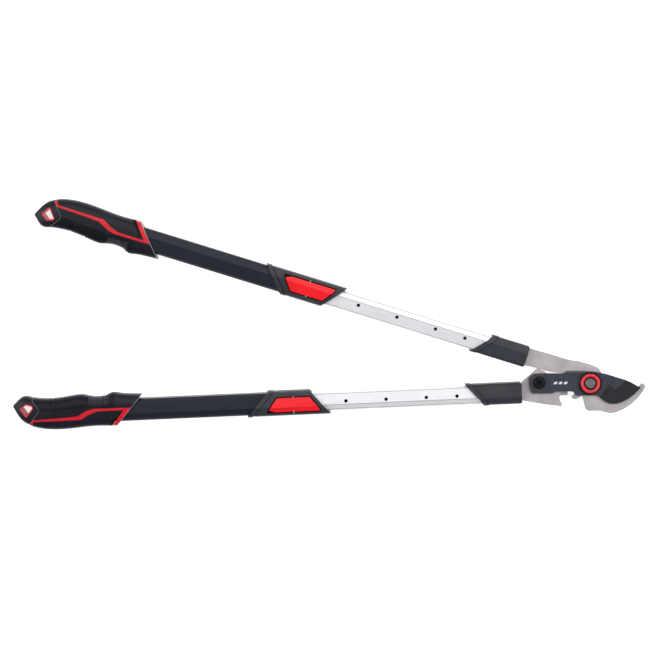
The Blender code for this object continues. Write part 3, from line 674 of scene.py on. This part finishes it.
FERRULE_HEAD = ((112, -24), (112, -18.8), (108.5, -15.6), (108.5, 15.4), (110.6, 18), (110.6, 24))
FERRULE_WALL = 2.2
FERRULE_LIP = 9.5
LIP_PROUD = 0.8
SCORE, SCORE_DEPTH = 1.1, 0.9  # width and depth of the line beside a lip
FERRULE_GROOVE = [(u - FERRULE_LIP - 0.5, v) for u, v in FERRULE_TAIL]
TONGUE = (11 + GAP, 3.3)  # half width and half height of its slot in the ferrule's end
COLLAR_FRONT, COLLAR_BACK = (410.5, 444.0), (543.0, 509.0)  # u at v = 20 and at v = -20
COLLAR_LIP, COLLAR_LIP_PROUD = 8.5, 0.9
COLLAR_SCORE_DEPTH = 1.1
MOUTH = 2.5  # how far the tube's mouth is cut in at the collar's back end
SCREW, SCREW_HOLE, SCREW_HEAD = 528, 1.9, 3.7


def section(distance=0.0, rounding=0.0, corners=SIDE_CORNERS):
    """The tubes' six-sided outline, mirrored below the middle plane, grown, with its corners rounded."""
    lower = [(v, -w) for v, w in reversed(corners)]
    points = grown(path(*corners, *lower), distance)
    return rounded([(p.x, p.y, rounding) for p in points]) if rounding else points


def bar(name, loops, start, end):
    """Section loops (v, w) drawn out along u."""
    return prism(name, loops, start, end, ALONG)


def through(name, *loops):
    """Outlines of the plan, made a zone right through a handle."""
    return prism(name, loops, -REACH, REACH)


def sleeve(name, distance, rounding, zone, corners=SIDE_CORNERS):
    """A bar of the section that fills a zone of the plan."""
    low = min(p[0] for p in zone) - 5
    high = max(p[0] for p in zone) + 5
    return keep(bar(name, [section(distance, rounding, corners)], low, high), through("zone", zone))


def in_groove(route, reach=0.5):
    """Which faces are in a groove: 1 for a face whose centre is near the route, in plan."""
    pieces = [(Vector(a), Vector(b) - Vector(a)) for a, b in zip(route, route[1:])]

    def chosen(centre, normal):
        for start, step in pieces:
            t = min(1, max(0, (centre.xy - start).dot(step) / step.length_squared))
            if (start + step * t - centre.xy).length < reach:
                return 1
        return 0

    return chosen


def inside(outline):
    """Which faces are in a recess: 1 for a face whose centre is inside the outline, in plan."""

    def chosen(centre, normal):
        odd = 0
        for a, b in zip(outline, outline[1:] + outline[:1]):
            if (a.y > centre.y) != (b.y > centre.y):
                odd ^= centre.x < a.x + (b.x - a.x) * (centre.y - a.y) / (b.y - a.y)
        return odd

    return chosen


def score(name, route, width, inner):
    """What a thin groove takes away: a line of the plan, outside an inner shape."""
    return cut(through(name, line(route, width)), inner)


def ferrule():
    """The sleeve over the tube's front end, with a slanted tail, a lip and a slot for the jaw's tongue."""
    tail = path(*FERRULE_TAIL)
    behind = [p - Vector((FERRULE_LIP, 0)) for p in tail]
    made = sleeve("ferrule", FERRULE_WALL, 1.5, [*tail, *path(*FERRULE_HEAD)])
    join(made, sleeve("ferrule_lip", FERRULE_WALL + LIP_PROUD, 1.5, [*tail, *reversed(behind)]))
    core = bar("core", [section(FERRULE_WALL - SCORE_DEPTH)], *FERRULE_SPAN)
    cut(made, score("ferrule_groove", FERRULE_GROOVE, SCORE, core))
    cut(made, bar("ferrule_bore", [section(GAP, 0.6)], INNER_ENDS[0] - GAP, FERRULE_SPAN[1]))
    half, tall = TONGUE
    slot = path((-half, -tall), (half, -tall), (half, tall), (-half, tall))
    return cut(made, bar("ferrule_slot", [slot], FERRULE_SPAN[0], INNER_ENDS[0] + 1))


def inner_tube():
    """The bright tube, with its lock holes and a fine groove along each upper crease, whose faces are painted
    dark as shade.
    """
    made = bar("inner_tube", [section(0, 0.7), section(-INNER_WALL, 0.3)], *INNER_ENDS)
    holes = [circle(u, 0, HOLE, 32) for u in HOLES]
    rods = [[circle(v, w + 0.25, 0.5, 8)] for v, w in SIDE_CORNERS[1:4]]
    lines = [bar("line", rod, INNER_ENDS[0] - 1, INNER_ENDS[1] + 1) for rod in rods]
    return cut(made, prism("lock_holes", holes, 5, 15), *lines)


def tube_finish():
    """Which finish a face of the inner tube has: its drawn skin, its inside and its holes' walls painted near
    black as shade, or a groove along a crease painted dark as shade.
    """
    within = section(-0.3)
    wide, tall = max(p.x for p in within), max(p.y for p in within)
    creases = path(*SIDE_CORNERS[1:4])

    def chosen(centre, normal):
        # Faces along a crease are painted dark as shade.
        if any((centre.yz - crease).length < 0.6 for crease in creases):
            return 2
        # The walls of the lock holes and the faces inside the tube are painted near black as shade.
        in_hole = abs(normal.z) < 0.5 and abs(normal.y) < 0.98 and centre.z > 5
        facing_in = abs(centre.y) < wide and abs(centre.z) < tall and centre.yz.dot(normal.yz) <= 0
        return int(in_hole or facing_in)

    return chosen


def outer_tube():
    """The black tube, with a window for the button's tub and a hole for the collar's screw."""
    loops = [section(OUTER_OUTSIDE, 1.3), section(OUTER_INSIDE, 0.8)]
    made = bar("outer_tube", loops, *OUTER_ENDS)
    window = prism("window", [grown(rounded(BUTTON), BUTTON_GROOVE + TUB_WALL + GAP)], 6, 20)
    return cut(made, window, prism("hole", [circle(SCREW, 0, SCREW_HOLE, 24)], -16, -5))


def slanted(front, back):
    """A strip of plan between two slanted edges, each given as its u at v = 20 and at v = -20."""

    def at(edge, v):
        return Vector(((edge[0] + edge[1]) / 2 + (edge[0] - edge[1]) * v / 40, v))

    return [at(front, 24), at(front, -24), at(back, -24), at(back, 24)]


def collar_line(behind):
    """The two ends of a line across the collar, this far behind its slanted back end."""
    edge = [u + behind for u in COLLAR_BACK]
    return slanted(edge, edge)[:2]


def collar_bar(name, distance, rounding=1.2):
    """A bar of the collar's section, longer than the collar."""
    return bar(name, [section(distance, rounding, COLLAR_CORNERS)], *COLLAR_SPAN)


def collar():
    """The housing on the outer tube's front end, with the tub that holds the button."""
    made = sleeve("collar", 0, 1.6, slanted(COLLAR_FRONT, COLLAR_BACK), COLLAR_CORNERS)
    lip = [*collar_line(-COLLAR_LIP), *reversed(collar_line(0))]
    join(made, sleeve("collar_lip", COLLAR_LIP_PROUD, 1.6, lip, COLLAR_CORNERS))
    core = collar_bar("core", -COLLAR_SCORE_DEPTH, 0)
    cut(made, score("collar_groove", collar_line(-COLLAR_LIP - 0.5), SCORE, core))
    cut(made, sleeve("mouth", 4.0, 1.5, [*collar_line(-MOUTH), *reversed(collar_line(5))]))
    seat = bar("seat", [section(OUTER_OUTSIDE + GAP, 1.3)], OUTER_ENDS[0] - 0.5, COLLAR_SPAN[1])
    cut(made, bar("bore", [section(0.4, 0.6)], *COLLAR_SPAN), seat)
    outline = rounded(BUTTON)
    tub = prism("tub", [grown(outline, BUTTON_GROOVE + TUB_WALL)], TUB_FOOT, REACH)
    join(made, keep(tub, collar_bar("tub_roof", TUB_PROUD)))
    u, w = ROCKER
    half = ROCKER_PIN
    pin_slot = path((u - half, w - half), (u + half, w - half), (u + half, 20), (u - half, 20))
    return cut(
        made,
        prism("pocket", [grown(outline, BUTTON_GROOVE)], TUB_FLOOR, REACH),
        prism("peg_way", [circle(HOLES[-1], 0, PEG_WAY, 32)], 9, 14),
        prism("pin_slot", [pin_slot], *PIN_ENDS, ACROSS),
        prism("screw_sink", [circle(SCREW, 0, SCREW_HEAD, 32)], -20, -14.2),
        prism("screw_way", [circle(SCREW, 0, SCREW_HOLE, 24)], -16, -8),
    )


def collar_finish():
    """Which faces of the collar are painted near black as shade: its groove, and the floor and walls of the
    button's pocket.
    """
    groove = in_groove(collar_line(-COLLAR_LIP - 0.5))
    within = inside(grown(rounded(BUTTON), BUTTON_GROOVE + 0.1))

    def chosen(centre, normal):
        in_pocket = centre.z > 12.5 and (abs(normal.z) < 0.3 or centre.z < 13) and within(centre, normal)
        return int(groove(centre, normal) or in_pocket)

    return chosen


def lock_button():
    """The rocking button, with a stepped place for the thumb over its front end."""
    made = prism("lock_button", [grown(rounded(BUTTON), -BUTTON_INSET)], BUTTON_FOOT, REACH)
    keep(made, collar_bar("button_roof", BUTTON_PROUD))
    step = prism("thumb", [path(*THUMB_LINE, *THUMB_FAR)], 10, REACH)
    cut(made, cut(step, collar_bar("below", BUTTON_PROUD - PRESS)))
    cut(made, score("thumb_line", THUMB_LINE, 0.9, collar_bar("core", BUTTON_PROUD - PRESS - 0.3, 0)))
    return cut(
        made,
        prism("relief", [path(*BUTTON_RELIEF)], -REACH, REACH, ACROSS),
        prism("button_bore", [circle(*ROCKER, ROCKER_PIN, 32)], -REACH, REACH, ACROSS),
        prism("peg_seat", [circle(HOLES[-1], 0, PEG_SEAT, 32)], 12, 16.4),
    )


# The grip, station by station: u, inner edge, outer edge, half height.
GRIP_STATIONS = (
    (703, -24.3, 24.0, 17.0), (722, -25.2, 24.2, 17.0), (740, -26.6, 24.3, 17.0), (752, -28.8, 24.4, 17.0),
    (758, -28.2, 24.3, 17.0), (765, -24.0, 24.0, 17.0), (777, -22.2, 23.6, 17.0), (788, -23.0, 23.6, 17.0),
    (798, -26.4, 24.1, 17.0), (806, -27.5, 24.7, 17.0), (820, -26.2, 25.8, 17.0), (838, -23.8, 26.6, 17.0),
    (856, -22.9, 26.0, 17.0), (870, -23.9, 24.0, 17.0), (882, -25.8, 20.8, 16.2), (890, -28.2, 16.8, 15.2),
    (897, -28.2, 12.6, 14.0), (903, -24.6, 6.2, 12.6), (908, -19.8, -2.2, 10.6), (912.5, -16.0, -11.0, 7.0),
)  # fmt: skip
GRIP_SIDES = 64
GRIP_SQUARENESS = 3.2
STRIPE = (
    (736, -1.6, 0), (779, -1.4, 8), (792, 3, 8), (806, 11.2, 5), (880.5, 11.6, 1), (884, 17.5, 0),
    (888, 16.8, 0), (882, 8.8, 1), (830, 6.8, 30), (811.7, 5.6, 6), (795, -3.2, 6), (785, -5.4, 8),
    (733, -5.2, 0),
)  # fmt: skip
STRIPE_DEPTH = 1.8
SEAT_GAP = 0.25  # round a piece that is let into the cover
HANG_HOLE = ((892.5, 6, 3), (902.3, -9.5, 3), (891.5, -17.4, 2.5), (881, -14.5, 2), (879.5, -10, 2.5))
LINER = 1.6
PAD_LINE = ((752, -7), (800, -8.5), (874, -5), (880, -16), (880, -40), (752, -40))
FRONT_FOOT, FRONT_TOP = Vector((708.3, -24.3)), Vector((750.7, 25.0))
FRONT_LEAN = (FRONT_TOP.x - FRONT_FOOT.x) / (FRONT_TOP.y - FRONT_FOOT.y)
RIM = 0.9  # width of the lighter strip along the grip's front edge, a painted highlight
BAND = ((-5, 9.6), (35, 7.5))  # v and width of the red band at its two ends
WEDGE = path((741.5, 1.4), (758.4, 24.4), (758, 40), (775, 40), (764.8, 24.4), (744.5, 1.4))
END_LINE = ((881.2, -30), (881.2, -21.2), (873.1, -9.9), (871.3, -4.8), (881.2, 7.5), (893, 22))
GRIP_SCORES = (  # route and width
    (END_LINE, 0.9), (((852, -40), (852, -12)), 2.2), (((829.3, -40), (829.3, -15.4)), 2.2),
    (((871.3, -4.8), (807.3, -9.1), (796.6, -13.5), (790, -14)), 0.9),
)  # fmt: skip
SCORE_FLOOR, WEDGE_FLOOR = 1.3, 2.6  # how far below the grip's surface
DOT_ROWS = range(761, 792, 3)
DOT_START, DOT_STEP, DOTS = 108, 6.3, 24  # degrees round the grip, and dots in a row
DOT_RADIUS, DOT_BORDER = 1.0, -12.5


def grip_row(u):
    """The grip's inner edge, outer edge and half height at u, on a smooth curve through the stations."""
    last = len(GRIP_STATIONS) - 1
    i = min(max(k for k in range(last) if GRIP_STATIONS[k][0] <= u), last - 1)
    before, start = GRIP_STATIONS[max(i - 1, 0)], GRIP_STATIONS[i]
    end, after = GRIP_STATIONS[i + 1], GRIP_STATIONS[min(i + 2, last)]
    width = end[0] - start[0]
    t = (u - start[0]) / width
    row = []
    for k in (1, 2, 3):
        leave = (end[k] - before[k]) / (end[0] - before[0]) * width
        arrive = (after[k] - start[k]) / (after[0] - start[0]) * width
        row.append(curved(start[k], leave, end[k], arrive, t))
    return row


def grip_point(u, turn, inset=0.0):
    """A point of the grip's surface: squared ovals between its two edges."""
    inner, outer, height = grip_row(u)
    across = math.copysign(abs(math.cos(turn)) ** (2 / GRIP_SQUARENESS), math.cos(turn))
    up = math.copysign(abs(math.sin(turn)) ** (2 / GRIP_SQUARENESS), math.sin(turn))
    return Vector((u, (inner + outer) / 2 + ((outer - inner) / 2 - inset) * across, up * (height - inset)))


def grip_form(name, inset=0.0, steps=2):
    """The grip's whole outer form, or one a little smaller, with this many steps between stations."""
    work = bmesh.new()
    stations = [station[0] for station in GRIP_STATIONS]
    places = [a + (b - a) * k / steps for a, b in zip(stations, stations[1:]) for k in range(steps)]
    places.append(stations[-1])
    turns = [math.tau * (i + 0.5) / GRIP_SIDES for i in range(GRIP_SIDES)]
    rings = [[work.verts.new(grip_point(u, turn, inset) * MM) for turn in turns] for u in places]
    for first, second in zip(rings, rings[1:]):
        for i in range(GRIP_SIDES):
            j = (i + 1) % GRIP_SIDES
            work.faces.new((first[i], first[j], second[j], second[i]))
    work.faces.new(reversed(rings[0]))
    work.faces.new(rings[-1])
    return closed(name, work)


def front(v, behind=0.0):
    """A point of the grip's slanted front edge, or of a line behind it."""
    return Vector((FRONT_FOOT.x + (v - FRONT_FOOT.y) * FRONT_LEAN + behind, v))


def grip_grooves():
    """What the scores across the grip take away."""
    scores = [through("score", line(route, width)) for route, width in GRIP_SCORES]
    return cut(join(*scores), grip_form("score_core", SCORE_FLOOR))


def end_inlay(hole):
    """The thin lighter line in the score at the grip's end, a painted highlight along the score."""
    inlay = keep(through("grip_lines", line(END_LINE, 0.7)), grip_form("inlay_form", 0.1, 4))
    return cut(inlay, grip_form("inlay_core", SCORE_FLOOR - 0.1), through("inlay_hole", grown(hole, 0.4)))


def grip_pieces():
    """The grip's cover, pad, band, stripe and hanging hole's liner, all cut from one form."""
    pad_zone = path(*PAD_LINE)
    band_zone = [front(v) for v, _ in BAND] + [front(v, width) for v, width in reversed(BAND)]
    hole = rounded(HANG_HOLE)
    stripe_line = rounded(STRIPE)
    highlight_strip_zone = [front(-40), front(35), front(35, RIM), front(-40, RIM)]
    grip_zone = [front(-40, RIM), front(35, RIM), *path((930, 35), (930, -40))]

    bore = bar("grip_bore", [section(OUTER_OUTSIDE + GAP, 1.3)], 690, OUTER_ENDS[1] + GAP)
    body = cut(grip_form("body", steps=4), bore)
    # A thin strip along the front edge, which takes a light grey finish as a painted highlight.
    rim = keep(again(body, "front_rim"), through("highlight_strip_zone", highlight_strip_zone))
    keep(body, through("grip_zone", grip_zone))
    grooves = grip_grooves()
    pad = cut(keep(again(body, "grip_pad"), through("zone", pad_zone)), again(grooves, "grooves"))
    band = keep(again(body, "grip_band"), through("zone", band_zone))
    stripe = keep(grip_form("grip_stripe", steps=4), prism("zone", [stripe_line], 2, REACH))
    cut(stripe, grip_form("stripe_core", STRIPE_DEPTH), through("end", grown(band_zone, GAP)))

    cover = cut(body, through("hang", hole), through("band_seat", grown(band_zone, 0.2)))
    cut(cover, through("pad_seat", grown(pad_zone, SEAT_GAP)))
    seat = prism("stripe_seat", [grown(stripe_line, SEAT_GAP)], 2, REACH)
    cut(seat, grip_form("seat_core", STRIPE_DEPTH + GAP))
    recess = cut(through("recess", WEDGE), grip_form("recess_core", WEDGE_FLOOR))
    cut(cover, seat, grooves, recess)

    liner = through("hang_liner", grown(hole, -0.15), grown(hole, -GAP - LINER))
    keep(liner, grip_form("liner_form", -0.3))
    return {
        "front_rim": rim, "grip_lines": end_inlay(hole), "grip_pad": pad, "grip_band": band,
        "grip_stripe": stripe, "grip_cover": cover, "hang_liner": liner,
    }  # fmt: skip


def pad_dots():
    """Rows of small raised dots in the finger's hollow of the pad, which take a lighter finish as painted
    highlights.
    """
    work = bmesh.new()
    for row, u in enumerate(DOT_ROWS):
        for column in range(DOTS):
            spot = grip_point(u, math.radians(DOT_START + DOT_STEP * (column + row % 2 / 2)))
            if spot.y > DOT_BORDER:
                continue
            made = bmesh.ops.create_icosphere(work, subdivisions=1, radius=DOT_RADIUS * MM)
            bmesh.ops.translate(work, verts=made["verts"], vec=spot * MM)
    return closed("pad_dots", work)


# The width and the segments of each mesh's rounded edges.
FINE = {
    "ferrule": (0.4, 2), "inner_tube": (0.2, 2), "outer_tube": (0.3, 2), "collar": (0.4, 2),
    "lock_button": (0.6, 3), "grip_cover": (0.3, 2), "grip_pad": (0.3, 2), "grip_band": (0.25, 2),
    "grip_stripe": (0.25, 2), "hang_liner": (0.3, 2), "front_rim": (0, 0), "grip_lines": (0, 0),
}
# The strip along the grip's front edge, the line at its end and the pad's dots take lighter finishes than the
# grip: painted highlights.
LOOSE = {"front_rim": GRIP_RIM_HIGHLIGHT, "grip_lines": GRIP_LINE_HIGHLIGHT, "pad_dots": GRIP_DOT_HIGHLIGHT}  # these have no node


def placed(obj, side, name):
    """A copy of the object for one handle, moved from the handle's axes into the tool."""
    joint = JOINTS[f"{side}_slide"]
    along = -Vector(joint["axis"])
    across = Vector((-along.y, along.x, 0))
    start = Vector(joint["pos_m"])
    mirrored = across.dot(start) < 0
    if mirrored:
        across = -across
    made = again(obj, name)
    place = Matrix.Translation(start) @ Matrix((along, across, (0, 0, 1))).transposed().to_4x4()
    made.data.transform(place)
    if mirrored:
        made.data.flip_normals()
    return made


def handle_kit():
    """Every mesh of a handle, painted."""
    kit = {
        "ferrule": ferrule(), "inner_tube": inner_tube(), "outer_tube": outer_tube(), "collar": collar(),
        "lock_button": lock_button(), **grip_pieces(), "pad_dots": pad_dots(),
    }  # fmt: skip
    # The inner tube's inside, its lock holes' walls and its crease grooves are painted dark as shade.
    paint(kit["inner_tube"], tube_finish(), TUBE_SILVER["lower"], TUBE_INSIDE_SHADE, TUBE_CREASE_SHADE)
    # The collar's groove and the floor and walls of the button's pocket are painted near black as shade.
    paint(kit["collar"], collar_finish(), CHARCOAL, RECESS_SHADE)
    # The ferrule's groove and the grip cover's wedge recess are painted near black as shade.
    paint(kit["ferrule"], in_groove(FERRULE_GROOVE), CHARCOAL, RECESS_SHADE)
    paint(kit["grip_cover"], inside(grown(WEDGE, 0.05)), GRIP_BLACK, RECESS_SHADE)
    # The faces in the thumb's groove are painted darker red as shade.
    paint(kit["lock_button"], in_groove(THUMB_LINE), RED, RED_LINE_SHADE)
    for name in ("grip_band", "grip_stripe", "hang_liner"):
        kit[name].data.materials.append(TRIM_RED)
    return kit


def handle_pieces():
    """Both handles' pieces. Those with no node of their own ride on the pad's body."""
    kit = handle_kit()
    for side in ("lower", "upper"):
        pad = f"{side}_grip_pad"
        for name, obj in kit.items():
            node = f"{side}_{name}"
            made = placed(obj, side, node if name == "pad_dots" else f"{node}_fine")
            if name == "inner_tube":
                made.data.materials[0] = TUBE_SILVER[side]
            if name == "pad_dots":
                made.data.shade_smooth()
            else:
                soften(made, *FINE[name], 50)
            if name in LOOSE:
                piece(made, finish=LOOSE[name], body=BODY_OF[pad], slot=SLOT_OF[pad])
            else:
                piece(made, node)
    for obj in kit.values():
        bpy.data.objects.remove(obj)


def plain_pieces():
    """Every CAD node that has no finer mesh yet, with its edges rounded."""
    for node in frame["nodes"]:
        name = f"{node}_fine"
        if name not in bpy.data.objects:
            piece(soften(closed(name, cad_shape(node)), 0.3, 3, 25), node)


for plate_node, rim_width in PLATES.items():
    jaw_plate(plate_node, rim_width)
cutting_blade()
pivot_pieces()
handle_pieces()
plain_pieces()


# Surroundings, in metres.


def area_light(name, place, size, power, target):
    """A rectangular lamp, in metres and watts, turned to its target."""
    lamp = bpy.data.lights.new(name, "AREA")
    lamp.shape = "RECTANGLE"
    lamp.size, lamp.size_y = size
    lamp.energy = power
    made = linked(name, lamp)
    made.location = place
    made.rotation_mode = "QUATERNION"
    made.rotation_quaternion = (target - made.location).to_track_quat("-Z", "Y")


def paper_floor():
    """A white sheet that the tool lies on."""
    low, high = CAD_BOX
    place = ((low.x + high.x) / 2, (low.y + high.y) / 2, low.z)
    bpy.ops.mesh.primitive_grid_add(x_subdivisions=8, y_subdivisions=8, size=14, location=place)
    floor = bpy.context.object
    floor.name = "floor"
    paper = Nodes("paper", Roughness=0.9, Emission_Color=(1, 1, 1, 1), Emission_Strength=0.72)
    tint = paper.colours(paper.spread(paper.noise(3), 0, 1), (0.6, 0.6, 0.6), (0.63, 0.63, 0.63))
    paper.join(tint, paper.shader.inputs["Base Color"])
    floor.data.materials.append(paper.material)


def lights():
    """One large soft light above the upper handle, and one beyond each end of the tool."""
    centre = (CAD_BOX[0] + CAD_BOX[1]) / 2
    area_light("key", (-0.42, 1.15, 2.85), (3.8, 2.0), 42, centre)
    area_light("right", (2.3, 0.3, 2.2), (2.0, 2.0), 46, centre)
    area_light("left", (-3.1, 0.3, 2.2), (2.0, 2.0), 46, centre)


def studio():
    """Soft light from all round, dimmer overhead and on the lower handle's side, so that black stays deep."""
    world = bpy.data.worlds.new("studio")
    world.use_nodes = True
    tree = world.node_tree
    direction = tree.nodes.new("ShaderNodeSeparateXYZ")
    tree.links.new(tree.nodes.new("ShaderNodeTexCoord").outputs["Generated"], direction.inputs["Vector"])
    overhead = mapped(tree, direction.outputs["Z"], 0.3, 0.95, 1.05, 0.3)
    side = mapped(tree, direction.outputs["Y"], -0.8, 0.2, 0.3, 1.0)
    both = tree.nodes.new("ShaderNodeMath")
    both.operation = "MULTIPLY"
    tree.links.new(overhead, both.inputs[0])
    tree.links.new(side, both.inputs[1])
    background = tree.nodes["Background"].inputs
    tree.links.new(both.outputs["Value"], background["Strength"])
    background["Color"].default_value = (1, 1, 1, 1)
    return world


def camera():
    """Looks down on the tool, tilted a little toward the upper handle."""
    tilt = math.radians(6)
    target = Vector((-0.4187, 0.0916, 0.017))
    distance = 2.85
    lens = bpy.data.cameras.new("camera")
    lens.lens = 100
    made = linked("camera", lens)
    made.location = target + Matrix.Rotation(-tilt, 3, "X") @ Vector((0, 0, distance))
    made.rotation_euler = (-tilt, 0, 0)
    bpy.context.scene.camera = made


paper_floor()
lights()
camera()
bpy.context.scene.world = studio()
bpy.context.scene.view_settings.view_transform = "Standard"
